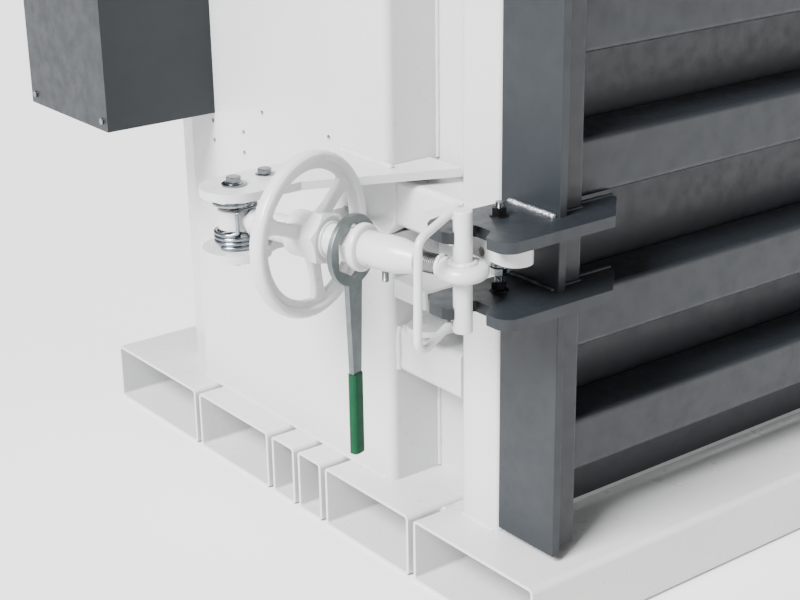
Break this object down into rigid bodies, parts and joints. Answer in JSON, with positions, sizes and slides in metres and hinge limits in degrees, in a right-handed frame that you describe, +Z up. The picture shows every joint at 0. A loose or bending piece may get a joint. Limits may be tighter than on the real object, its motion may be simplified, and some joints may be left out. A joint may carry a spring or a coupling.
{
  "type": "baling press lower unit with screw-clamped front door",
  "caption": "Lower unit of a vertical baling press: ribbed front door held by a swinging handwheel screw clamp on welded lug plates, with its ring spanner.",
  "frame": {"origin": "centre of the base tubes' underside", "axes": "+Z up, -Y to the front where the door is, -X to the side that carries the lock"},
  "size_m": [1.72, 1.1225, 1.108],
  "materials": {
    "white_paint": "gloss",
    "grey_paint": "satin",
    "zinc": "satin",
    "dark_bolt": "satin",
    "spanner_steel": "satin",
    "green_grip": "satin",
    "spring_wire": "satin"
  },
  "bodies": {
    "press_body": {"base_tie_strips": "white_paint", "base_tube_1": "white_paint", "base_tube_2": "white_paint", "base_tube_3": "white_paint", "base_tube_4": "white_paint", "base_tube_5": "white_paint", "base_tube_6": "white_paint", "bracket_nuts": "zinc", "cabinet_screws": "zinc", "chamber_floor": "white_paint", "chamber_wall_left": "white_paint", "chamber_wall_right": "white_paint", "corner_post_left": "white_paint", "corner_post_right": "white_paint", "frame_hinge_knuckles": "white_paint", "front_header": "white_paint", "guide_bolt": "zinc", "hinge_pins": "zinc", "keeper_bracket": "white_paint", "pivot_bolt": "zinc", "pivot_bracket_lower": "white_paint", "pivot_bracket_upper": "white_paint", "pivot_washer": "zinc", "pocket_liner_left": "white_paint", "rear_wall": "white_paint", "ring_beam_lower_left": "white_paint", "ring_beam_lower_right": "white_paint", "ring_beam_upper_left": "white_paint", "ring_beam_upper_right": "white_paint", "side_cabinet": "grey_paint", "side_cabinet_cover": "grey_paint", "side_panel_left": "white_paint", "side_panel_right": "white_paint", "top_flange": "white_paint"},
    "door": {"catch_bar": "white_paint", "door_hinge_knuckles": "grey_paint", "door_rib_1": "grey_paint", "door_rib_2": "grey_paint", "door_rib_3": "grey_paint", "door_rib_4": "grey_paint", "door_rib_5": "grey_paint", "door_sheet": "grey_paint", "door_side_left": "grey_paint", "door_side_right": "grey_paint", "door_stile_left": "grey_paint", "door_stile_right": "grey_paint", "lug_clamp_bolt": "zinc", "lug_clamp_nuts": "dark_bolt", "lug_plate_lower": "grey_paint", "lug_plate_upper": "grey_paint"},
    "lock_arm": {"swing_arm": "white_paint", "torsion_spring": "spring_wire"},
    "lock_wheel": {"handwheel": "white_paint", "lock_sleeve": "white_paint", "sleeve_grub_screw": "zinc"},
    "lock_hook": {"hook_rod": "white_paint", "cross_pin": "white_paint", "bar_handle": "white_paint"},
    "spanner": {"ring_spanner": "spanner_steel", "spanner_grip": "green_grip"}
  },
  "joints": [
    {"name": "door_hinge", "type": "hinge", "parent": "press_body", "child": "door", "pos_m": [0.711, -0.463, 0.598], "axis": [0, 0, 1], "range_deg": [0, 110]},
    {"name": "arm_swing", "type": "hinge", "parent": "press_body", "child": "lock_arm", "pos_m": [-0.90414, -0.12545, 0.546], "axis": [0, 0, -1], "range_deg": [0, 110]},
    {"name": "wheel_spin", "type": "hinge", "parent": "lock_arm", "child": "lock_wheel", "pos_m": [-0.8014, -0.4861, 0.546], "axis": [0.274, -0.9617, 0], "range_deg": [0, 1440]},
    {"name": "hook_travel", "type": "slide", "parent": "lock_arm", "child": "lock_hook", "axis": [0.274, -0.9617, 0], "range_m": [0, 0.01201]},
    {"name": "spanner_swing", "type": "hinge", "parent": "lock_arm", "child": "spanner", "pos_m": [-0.8014, -0.4861, 0.546], "axis": [0.274, -0.9617, 0], "range_deg": [-75, 25]}
  ],
  "couplings": [
    {"joint": "hook_travel", "follows": "wheel_spin", "m_per_rad": 0.00047746}
  ]
}
